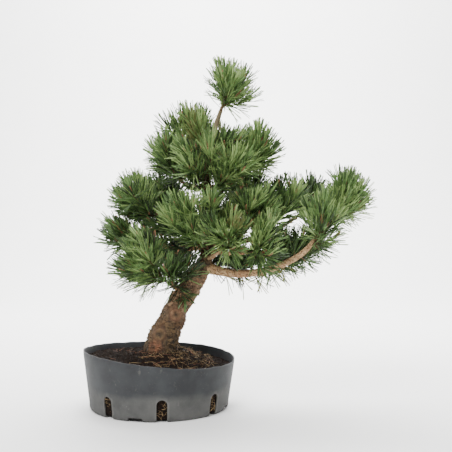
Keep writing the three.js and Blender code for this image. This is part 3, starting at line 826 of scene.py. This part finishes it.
boxLow, boxHigh = (np.array(corner) / mm for corner in cadBox)


def inReach(owner):
    def fits(tips):
        tip, proud = tips[-1], needles["proud"]
        inBox = np.all(tip > boxLow - proud) and np.all(tip < boxHigh + proud)
        return inBox and inOwnSpace(tips, owner, needles["clearance"], needles["reach"])

    return fits


def offWood(tips):
    return clearOfWood(tips, needles["clearance"])


# Pairs of needles round the last stretch of a shoot: steep at its foot, forward at its bud.
def needlesOn(curve, needled, pairs, size, tint, fits):
    found = []
    bare = 1 - needled / curve.length()
    turn = rng.uniform(0, 2 * math.pi)
    for i in range(pairs):
        along = (i + rng.random()) / pairs
        share = bare + (1 - bare) * along
        point, axis = curve.at(share), curve.along(share)
        across, over = sideVectors(axis, helperOf(axis))
        lean = needles["steepest"] + (needles["flattest"] - needles["steepest"]) * along ** needles["forward"]
        tilt = math.radians(lean + rng.uniform(-needles["leanVary"], needles["leanVary"]))
        step = rng.choice(tints["steps"])
        shade = tint if tint == tints["lastYear"] else int(np.clip(tint + step, 0, len(tints["limits"])))
        for pair in (-0.5, 0.5):
            apart = math.radians(needles["pairTurn"]) * pair * rng.uniform(*needles["pairVary"])
            lean = tilt + math.radians(rng.uniform(-needles["pairLean"], needles["pairLean"]))
            aim, out = aimed(axis, across, over, turn + goldenTurn * i + apart, lean)
            aim = unit(aim + (0, 0, needles["lift"]))
            length = needles["length"] * size * (1 + needles["uneven"] * (rng.random() - 0.5))
            length *= needles["atEnds"] + (1 - needles["atEnds"]) * math.sin(math.pi * along)
            for part in needles["parts"]:
                if fits(point + aim * (length * part) * needles["samples"]):
                    sideways = unit(np.cross(aim, out) + 1e-6)
                    found.append((point + out * needles["foot"], aim, sideways, length * part, shade))
                    break
    return found


rng = np.random.default_rng(needles["seed"])
needleSets = {name: [] for name in [*tufts, *littleKinds]}
for owner, curve, level in allShoots:
    length = curve.length()
    tint = tintOf(owner, curve, rng.random())
    needled, size, thick = min(needles["share"] * length, needles["needled"]), 1, 1
    if level == 2:
        needled, size, thick = length * needles["fineShare"], needles["fineSize"], needles["fineThick"]
    pairs = int(needled * needles["perMillimetre"] * thick) // 2
    needleSets[owner] += needlesOn(curve, needled, pairs, size, tint, inReach(owner))
for label, values in littleKinds.items():
    for curve in littleOnes[label]:
        needled = curve.length() * needles["littleShare"]
        needleSets[label] += needlesOn(curve, needled, *values[6:9], offWood)
print("needles:", sum(len(found) for found in needleSets.values()))

# Masses are joined by neighbourhood into pieces of a size that the export keeps whole.
neighbourhoods = {
    "top": "top crown_high_left crown_middle",
    "crown_front": "crown_left crown_front crown_front_right crown_right",
    "crown_back": "crown_back crown_back_left back_middle",
    "left": "left_high left low_left low_inner",
    "back_left": "low_back back_left back_low",
    "front": "front_left left_inner front_middle front_right",
    "right_front": "right_front mid_right right_low",
    "right_back": "right_inner right_back back",
    "right_end": "right_end under_right",
}
members = {name: ["tuft_" + place for place in places.split()] for name, places in neighbourhoods.items()}
members["on_boughs"] = list(littleKinds)
for name, sets in members.items():
    found = [needle for label in sets for needle in needleSets[label]]
    bases, aims, laterals, lengths, shades = (np.array(column) for column in zip(*found))
    draws = np.random.default_rng(len(found))
    bows = needles["bow"] * draws.uniform(-1, 1, len(found))
    widths = needles["width"] * draws.uniform(*needles["widthVary"], len(found))
    points, faces, each = needleMesh(bases, aims, laterals, lengths, widths, bows)
    piece = meshPiece("needles_" + name, points, faces, needleFinishes, np.repeat(shades, each), smooth=False)
    settle(piece, "needles", *[label for label in sets if label in tufts])
    print(piece.name, len(found), "needles,", len(faces), "triangles")

# Pot
pot = {
    "footRadius": 111, "rimRadius": 122, "height": 84.3, "wall": 2, "floor": 2.5, "heel": 4, "wallSteps": 14,
    "slant": 8, "wave": 2.2, "sides": 224, "lip": (0.5, 0.4), "foot": ((1, 0), (0.6, 0.35), (0.25, 4 / 3)),
    "slotCount": 8, "slotTurn": 6.8, "slotWidth": 16, "slotHeight": 34, "slotDepth": 14, "archSteps": 17,
    "notchCount": 4, "notchTurn": -14, "notchWidth": 27, "notchHeight": 6, "notchDepth": 9,
    "cutPast": 6, "bevel": 0.0004, "bevelFrom": 50, "smoothTo": 35,
}
flare = (pot["rimRadius"] - pot["footRadius"]) / pot["height"]


def rimHeight(angle):
    # the knife's slant and waves, and its small slips
    slips = 0.35 * np.sin(13 * angle) * np.sin(5 * angle + 1) + 0.2 * np.sin(29 * angle + 2)
    return pot["height"] - pot["slant"] * np.sin(angle) - pot["wave"] * np.sin(2 * angle) + slips


def levelRing(radius, height, angles):
    return np.stack([radius * np.sin(angles), -radius * np.cos(angles), height + 0 * angles], -1)


def potShell():
    foot, wall, heel, steps = pot["footRadius"], pot["wall"], pot["heel"], pot["wallSteps"]
    wider = pot["rimRadius"] - foot
    # radius, height, and share of the way from there to the knife's cut
    profile = [(foot - heel * inset, height, 0) for inset, height in pot["foot"]]
    profile.append((foot + flare * heel, heel, 0))
    profile += [(foot + wider * i / steps, heel, i / steps) for i in range(1, steps)]
    profile += [(pot["rimRadius"] + inset, heel, 1) for inset in (-pot["lip"][0], pot["lip"][1] - wall)]
    profile += [(foot - wall + wider * i / steps, heel, i / steps) for i in range(steps, -1, -1)]
    profile.append((foot - heel, pot["floor"], 0))
    angles = anglesOf(pot["sides"])
    tall = rimHeight(angles) - heel
    rings = [levelRing(radius, height + tall * share, angles) for radius, height, share in profile]
    points = np.vstack([*rings, (0, 0, 0), (0, 0, pot["floor"])])
    return points, skin(len(profile), pot["sides"])


def cutter(outline, inner, outer, turn):
    count, cos, sin = len(outline), math.cos(turn), math.sin(turn)
    flat = [(x, -radius, z) for radius in (inner, outer) for x, z in outline]
    points = [((x * cos - y * sin) * mm, (x * sin + y * cos) * mm, z * mm) for x, y, z in flat]
    faces = [tuple(range(count - 1, -1, -1)), tuple(range(count, 2 * count))]
    faces += [(i, (i + 1) % count, (i + 1) % count + count, i + count) for i in range(count)]
    return points, faces


def cutPot():
    shell = meshPiece("pot_shell", *potShell(), [])
    half, tall = pot["slotWidth"] / 2, pot["slotHeight"]
    turns = np.linspace(0, math.pi, pot["archSteps"])
    slotLine = [(-half, -1), (half, -1)]
    slotLine += [(half * math.cos(a), tall - half + half * math.sin(a)) for a in turns]
    wide, low = pot["notchWidth"] / 2, pot["notchHeight"]
    notchLine = [(-wide, -1), (wide, -1), (wide - low / 2, low), (low / 2 - wide, low)]
    points, faces = [], []
    for kind, outline in (("slot", slotLine), ("notch", notchLine)):
        inner, outer = pot["footRadius"] - pot[kind + "Depth"], pot["rimRadius"] + pot["cutPast"]
        for i in range(pot[kind + "Count"]):
            turn = math.radians(pot[kind + "Turn"] + 360 * i / pot[kind + "Count"])
            cutPoints, cutFaces = cutter(outline, inner, outer, turn)
            faces += [tuple(v + len(points) for v in face) for face in cutFaces]
            points += cutPoints
    mesh = bpy.data.meshes.new("pot_cuts")
    mesh.from_pydata(points, [], faces)
    cuts = placed("pot_cuts", mesh)
    cut = shell.modifiers.new("slots", "BOOLEAN")
    cut.operation, cut.solver, cut.object = "DIFFERENCE", "EXACT", cuts
    bevel = shell.modifiers.new("soft edges", "BEVEL")
    bevel.width, bevel.segments, bevel.limit_method = pot["bevel"], 2, "ANGLE"
    bevel.angle_limit = math.radians(pot["bevelFrom"])
    whole = evaluated(shell)
    bpy.data.objects.remove(shell)
    bpy.data.objects.remove(cuts)
    return whole


def turnOf(points):
    return np.arctan2(points[:, 0], -points[:, 1])


def besideSlot(points):
    step = 2 * math.pi / pot["slotCount"]
    return ((turnOf(points) - math.radians(pot["slotTurn"]) + step / 2) % step - step / 2) * pot["footRadius"]


# Dust on the pot: a pale lower third with a wavy edge, and halos round the slots, as a number per corner.
dusting = {"edge": 42, "waves": ((5, 1, 1.8), (11, 2, 1.3), (23, 0, 0.8)), "fade": 10, "low": 0.55,
           "halo": 0.9, "haloWidth": 2.2}


def dustAt(points):
    z = points[:, 2] / mm
    rise = np.maximum(0, z - (pot["slotHeight"] - pot["slotWidth"] / 2))
    away = np.hypot(besideSlot(points), rise) - pot["slotWidth"] / 2
    halo = np.clip(1 - away / dusting["haloWidth"], 0, 1)
    waves = sum(high * np.sin(times * turnOf(points) + start) for times, start, high in dusting["waves"])
    low = np.clip((dusting["edge"] + waves - z) / dusting["fade"], 0, 1)
    return np.clip(dusting["low"] * low + dusting["halo"] * halo, 0, 1)


potMesh = cutPot()
potPiece = placed("pot_cut_down", potMesh)
corners = np.zeros(len(potMesh.vertices) * 3, np.float32)
potMesh.vertices.foreach_get("co", corners)
addNumber(potMesh, "dust", dustAt(corners.reshape(-1, 3)))
potMesh.polygons.foreach_set("use_smooth", np.full(len(potMesh.polygons), True))
potMesh.set_sharp_from_angle(angle=math.radians(pot["smoothTo"]))

plastic = Finish("dusty pot plastic")
clouds, specks = plastic.noise(28, 4, 0.6), plastic.noise(520, 3, 0.7)
marks = plastic.noise(90, 5, 0.75, plastic.stretched((1, 1, 0.5)))
dusty = plastic.attribute("dust") * (0.45 + clouds.ramp(0.3, 0.6) * 0.55)
body = plastic.layered(
    plastic.mix(clouds.ramp(0.35, 0.7), (39, 40, 42), (53, 55, 57)),
    (dusty * 0.8, (104, 103, 99)),
    (marks.ramp(0.62, 0.72) * 0.4, (106, 104, 99)),
    (specks.ramp(0.68, 0.78) * 0.5, (168, 166, 158)),
)
potMesh.materials.clear()
potMesh.materials.append(plastic.wear(body, 0.56 + dusty * 0.3 + clouds * 0.1, specks, 0.0002, 0.4, 0.25))
settle(potPiece, "pot", "pot")
print("pot done", trianglesOf(potPiece))

# Soil
soil = {
    "edge": 72, "mound": 15.7, "plateau": 36, "lump": 1.4, "lumpTurnX": 0.16, "lumpTurnY": 0.13, "rings": 6,
    "foot": pot["floor"] + growth["seat"], "sides": 200, "rows": 70, "grain": 1.1, "clear": 0.6,
    "wallTop": 64, "wallRows": 34, "lumpSize": 5, "wallGrain": (0.9, 0.9), "wallRoom": (0.2, 2.2),
}


def soilHeight(x, y):
    away = np.hypot(x, y)
    t = np.clip((away - soil["plateau"]) / (pot["footRadius"] - soil["plateau"]), 0, 1)
    fall = t * t * (3 - 2 * t)
    waves = np.sin(x * soil["lumpTurnX"] + 1) * np.cos(y * soil["lumpTurnY"])
    lumps = soil["lump"] * waves * np.minimum(1, fall * soil["rings"])
    return soil["edge"] + soil["mound"] * (1 - fall) - pot["slant"] * np.sin(np.arctan2(x, -y)) * fall + lumps


def soilWall(z):
    return pot["footRadius"] - pot["wall"] - soil["clear"] + flare * z


def soilPiece():
    sides, rings = soil["sides"], []
    angles = anglesOf(sides)
    for height in np.linspace(soil["foot"], soil["wallTop"], soil["wallRows"]):
        radius = soilWall(height) if height > pot["heel"] else pot["footRadius"] - pot["wall"] - pot["heel"]
        rings.append(levelRing(radius, height, angles))
    for row in range(soil["rows"]):
        ring = levelRing(soilWall(soil["edge"]) * (1 - row / soil["rows"]), 0, angles)
        ring[:, 2] = soilHeight(ring[:, 0], ring[:, 1])
        rings.append(ring)
    points = np.concatenate(rings)
    rough = np.array([noise.fractal(Vector(p) / soil["lumpSize"], 0.9, 2.2, 4) for p in points])
    atWall = np.arange(len(points)) < soil["wallRows"] * sides
    inward = np.clip(rough * soil["wallGrain"][0] + soil["wallGrain"][1], *soil["wallRoom"])
    points -= unit(points * (1, 1, 0)) * np.where(atWall, inward, 0)[:, None]
    points[:, 2] += np.where(atWall, 0, rough * soil["grain"])
    points[:sides, 2] = soil["foot"]
    points = np.vstack([points, (0, 0, soil["foot"]), (0, 0, float(soilHeight(0.0, 0.0)))])
    return points, skin(len(rings), sides)


earth = Finish("dark soil")
coarse, fine = earth.noise(160, 4, 0.7), earth.noise(700, 3, 0.7)
earthColor = earth.mix(coarse.ramp(0.36, 0.64), (10, 7, 5), (30, 20, 14))
earthColor = earth.mix(fine.ramp(0.64, 0.8) * 0.4, earthColor, (92, 68, 48))
earthMaterial = earth.wear(earthColor, 0.88 + fine * 0.1, coarse + fine * 0.5, 0.0012, 0.9, 0.15)
soilPoints, soilFaces = soilPiece()
settle(meshPiece("soil_bed", soilPoints, soilFaces, [earthMaterial]), "soil", "soil")
print("soil done", len(soilFaces))


# Crumbs and root bits strewn on the soil by Geometry Nodes
def strewTree(name):
    tree = bpy.data.node_groups.new(name, "GeometryNodeTree")
    kinds = {"Geometry": "Geometry", "Bit": "Object", "Finish": "Material", "Density": "Float",
             "Smallest": "Float", "Largest": "Float", "Lean": "Float", "Seed": "Int"}
    for label, kind in kinds.items():
        tree.interface.new_socket(label, in_out="INPUT", socket_type="NodeSocket" + kind)
    tree.interface.new_socket("Geometry", in_out="OUTPUT", socket_type="NodeSocketGeometry")
    given, outs = tree.nodes.new("NodeGroupInput").outputs, tree.nodes.new("NodeGroupOutput")

    def add(kind, settings, sockets, out=0):
        return addNode(tree, kind, settings, sockets).outputs[out]

    strewn = addNode(tree, "GeometryNodeDistributePointsOnFaces", {"distribute_method": "RANDOM"},
                     {"Mesh": given["Geometry"], "Density": given["Density"], "Seed": given["Seed"]}).outputs
    bit = add("GeometryNodeObjectInfo", {}, {"Object": given["Bit"], "As Instance": True}, "Geometry")
    leaning = add("ShaderNodeCombineXYZ", {}, {"X": given["Lean"], "Y": given["Lean"], "Z": math.pi})
    back = add("ShaderNodeVectorMath", {"operation": "SCALE"}, {0: leaning, "Scale": -1.0})
    turn = add("FunctionNodeRandomValue", {"data_type": "FLOAT_VECTOR"},
               {0: back, 1: leaning, "Seed": given["Seed"]})
    euler = add("FunctionNodeEulerToRotation", {}, {0: turn})
    spun = add("FunctionNodeRotateRotation", {"rotation_space": "LOCAL"},
               {"Rotation": strewn["Rotation"], "Rotate By": euler})
    size = add("FunctionNodeRandomValue", {"data_type": "FLOAT"},
               {2: given["Smallest"], 3: given["Largest"], "Seed": 3}, 1)
    bits = add("GeometryNodeInstanceOnPoints", {},
               {"Points": strewn["Points"], "Instance": bit, "Rotation": spun, "Scale": size})
    real = add("GeometryNodeRealizeInstances", {}, {"Geometry": bits})
    done = add("GeometryNodeSetMaterial", {}, {"Geometry": real, "Material": given["Finish"]})
    tree.links.new(done, outs.inputs[0])
    return tree


strewNodes = strewTree("strewn bits")


def strew(name, ground, bit, finish, density, largest, lean, seed):
    carrier = placed(name, ground)
    modifier = carrier.modifiers.new("strewn", "NODES")
    modifier.node_group = strewNodes
    values = {"Bit": bit, "Finish": finish, "Density": density, "Smallest": 0.5, "Largest": largest,
              "Lean": lean, "Seed": seed}
    for item in strewNodes.interface.items_tree:
        if item.in_out == "INPUT" and item.name in values:
            modifier[item.identifier] = values[item.name]
    mesh = evaluated(carrier)
    carrier.modifiers.clear()
    carrier.data = mesh
    mesh.name = name
    settle(carrier, "soil")
    print(name, trianglesOf(carrier), "triangles")


def crumbBit():
    points = [(0, 0, 1), (0.9, 0, 0.1), (0.2, 0.8, 0), (-0.8, 0.3, 0.15), (-0.3, -0.9, -0.1), (0, 0, -0.7)]
    faces = [(0, 1, 2), (0, 2, 3), (0, 3, 4), (0, 4, 1), (5, 2, 1), (5, 3, 2), (5, 4, 3), (5, 1, 4)]
    return meshPiece("crumb_bit", points, faces, [], smooth=False)


def rootBit(seed, length, radius, curl):
    draw = np.random.default_rng(seed)
    shares = np.linspace(-0.5, 0.5, 9)
    bend = draw.uniform(-curl, curl, 2)
    rise = 0.9 + 0.06 * length * (bend[1] * shares * 2 + 0.5 * np.sin(shares * 7 + seed))
    line = np.stack([shares * length, bend[0] * length * (shares**2 - 0.1), rise], -1)
    points, faces = tubes([line], [radius * (1 - 0.5 * np.abs(shares))], 4)
    return meshPiece("root_bit", points, faces, [])


def groundMesh(name, faces):
    piece = meshPiece(name, soilPoints, faces, [])
    mesh = piece.data
    bpy.data.objects.remove(piece)
    return mesh


# The soil's faces that carry bits: its top, the part of it with roots, the side with few, and the slots
patches = {"topFrom": 60, "rootyReach": 92, "sparseReach": 88, "rootyFrom": -22, "slotReach": 104,
           "slotLevel": 20, "slotHalf": 12, "slotEdge": 2.5}
faceCorners = soilPoints[soilFaces]
faceMiddles, faceHeights = faceCorners.mean(1), faceCorners[:, :, 2]
faceReach = np.hypot(faceMiddles[:, 0], faceMiddles[:, 1])
isTop = np.all(faceHeights > patches["topFrom"], axis=1)
isRight = faceMiddles[:, 0] > patches["rootyFrom"]
isSlot = np.all(np.abs(faceHeights - patches["slotLevel"]) < patches["slotHalf"], axis=1)
isSlot &= np.abs(besideSlot(faceMiddles)) < pot["slotWidth"] / 2 - patches["slotEdge"]
topGround = groundMesh("top ground", soilFaces[isTop])
rootyGround = groundMesh("rooty ground", soilFaces[isTop & isRight & (faceReach < patches["rootyReach"])])
sparseGround = groundMesh("sparse ground", soilFaces[isTop & ~isRight & (faceReach < patches["sparseReach"])])
slotGround = groundMesh("slot ground", soilFaces[isSlot & (faceReach > patches["slotReach"])])

strawFinish = twoTones("straw roots", 240, (0.4, 0.62), (92, 72, 46), (158, 134, 94), 0.75)
redFinish = twoTones("reddish roots", 200, (0.4, 0.62), (80, 50, 34), (134, 90, 62), 0.75)
crumbFinish = twoTones("soil crumbs", 300, (0.42, 0.6), (13, 9, 6), (38, 26, 18), 0.9, specular=0.15)

crumb = crumbBit()
strew("soil_crumbs", topGround, crumb, crumbFinish, 170000.0, 1.9, 1.2, 5)
strew("slot_crumbs", slotGround, crumb, crumbFinish, 300000.0, 1.5, 1.2, 6)
# Name: ground, material, how many a square metre, length and radius and curl of a bit, its lean, seed
rootKinds = {
    "straw_roots": (rootyGround, strawFinish, 3600.0, (30, 0.32, 0.5), 0.35, 11),
    "fine_roots": (rootyGround, strawFinish, 16000.0, (16, 0.17, 0.9), 0.5, 12),
    "reddish_roots": (rootyGround, redFinish, 2600.0, (24, 0.36, 0.5), 0.3, 13),
    "sparse_roots": (sparseGround, redFinish, 1600.0, (22, 0.3, 0.6), 0.25, 15),
    "slot_roots": (slotGround, strawFinish, 60000.0, (10, 0.26, 0.9), 0.35, 14),
}
bits = [crumb]
for name, (ground, finish, density, sizes, lean, seed) in rootKinds.items():
    bits.append(rootBit(seed, *sizes))
    strew(name, ground, bits[-1], finish, density, 1.3, lean, seed)
for bit in bits:
    bpy.data.objects.remove(bit)

# The look of the shot: floor, light and camera
studio = {"floorWidth": 9.0, "front": -3.0, "turn": 1.6, "curve": 1.2, "wallTop": 4.5,
          "key": 60.0, "fill": 8.0, "top": 22.0, "backdrop": 300.0, "world": 0.75}
shot = {"x": 0.1077, "y": -1.215, "z": 0.2901, "focalPixels": 750, "frame": 452, "sensor": 36.0}


def studioFloor():
    # a floor that turns up behind the pot into a pale backdrop
    half, curve = studio["floorWidth"] / 2, studio["curve"]
    line = [(studio["front"], 0.0), (studio["turn"], 0.0)]
    for angle in np.linspace(0, math.pi / 2, 17)[1:]:
        line.append((studio["turn"] + curve * math.sin(angle), curve * (1 - math.cos(angle))))
    line.append((studio["turn"] + curve, studio["wallTop"]))
    points = [(x, y, z) for y, z in line for x in (-half, half)]
    faces = [(2 * i, 2 * i + 1, 2 * i + 3, 2 * i + 2) for i in range(len(line) - 1)]
    mesh = bpy.data.meshes.new("floor")
    mesh.from_pydata(points, [], faces)
    mesh.polygons.foreach_set("use_smooth", np.full(len(faces), True))
    floor = placed("floor", mesh)
    pale = Finish("pale floor")
    mesh.materials.append(pale.wear(pale.mix(pale.noise(6, 2), (240, 240, 239), (245, 245, 244)), 0.7))


def softLight(name, place, target, power, size):
    data = bpy.data.lights.new(name, "AREA")
    data.energy, data.size = power, size
    light = placed(name, data)
    light.location = place
    light.rotation_euler = (Vector(target) - Vector(place)).to_track_quat("-Z", "Y").to_euler()


studioFloor()
middle = (0.1, 0, 0.3)
softLight("key", (-0.6, -1.3, 1.7), middle, studio["key"], 1.0)
softLight("fill", (1.4, -0.8, 0.9), middle, studio["fill"], 1.4)
softLight("top", (0.2, 0.6, 2.0), middle, studio["top"], 1.2)
softLight("backdrop", (0.1, 1.0, 2.2), (0.1, 2.7, 0.7), studio["backdrop"], 2.0)
world = bpy.data.worlds.new("soft room")
world.use_nodes = True
world.node_tree.nodes["Background"].inputs["Color"].default_value = (0.95, 0.95, 0.95, 1)
world.node_tree.nodes["Background"].inputs["Strength"].default_value = studio["world"]
bpy.context.scene.world = world

lens = bpy.data.cameras.new("shot")
lens.sensor_width = shot["sensor"]
lens.lens = shot["focalPixels"] / shot["frame"] * shot["sensor"]
camera = placed("shot", lens)
camera.location = (shot["x"], shot["y"], shot["z"])
camera.rotation_euler = (math.pi / 2, 0, 0)
bpy.context.scene.camera = camera
